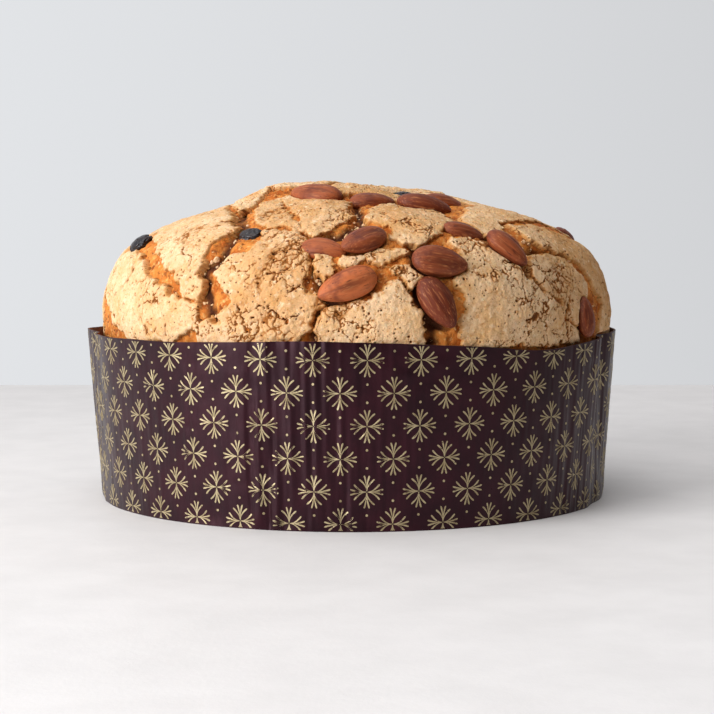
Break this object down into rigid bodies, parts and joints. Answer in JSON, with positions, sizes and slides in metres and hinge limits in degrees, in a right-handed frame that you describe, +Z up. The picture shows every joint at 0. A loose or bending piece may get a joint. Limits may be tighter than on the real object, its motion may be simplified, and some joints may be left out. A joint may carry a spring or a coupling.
{
  "type": "panettone",
  "caption": "Low round glazed panettone with whole almonds and raisins in its cracked dome, standing in its printed paper baking case.",
  "frame": {"origin": "the middle of the round underside of the paper case", "axes": "+Z up through the dome, -Y towards the front"},
  "size_m": [0.2211, 0.2194, 0.1303],
  "materials": {
    "paper": "dark brown coated baking paper with a gold print, satin",
    "crust": "matt almond glaze, cracked over browned dough",
    "almond_skin": "brown almond skin, satin, grooved lengthways",
    "raisin_skin": "blue-black raisin skin, wrinkled, glossy"
  },
  "bodies": {
    "root": {"paper_case": "paper", "cake": "crust", "almond_01": "almond_skin", "almond_02": "almond_skin", "almond_03": "almond_skin", "almond_04": "almond_skin", "almond_05": "almond_skin", "almond_06": "almond_skin", "almond_07": "almond_skin", "almond_08": "almond_skin", "almond_09": "almond_skin", "almond_10": "almond_skin", "almond_11": "almond_skin", "almond_12": "almond_skin", "almond_13": "almond_skin", "almond_14": "almond_skin", "almond_15": "almond_skin", "almond_16": "almond_skin", "almond_17": "almond_skin", "almond_18": "almond_skin", "almond_19": "almond_skin", "almond_20": "almond_skin", "almond_21": "almond_skin", "raisin_01": "raisin_skin", "raisin_02": "raisin_skin", "raisin_03": "raisin_skin", "raisin_04": "raisin_skin", "raisin_05": "raisin_skin"}
  },
  "joints": []
}
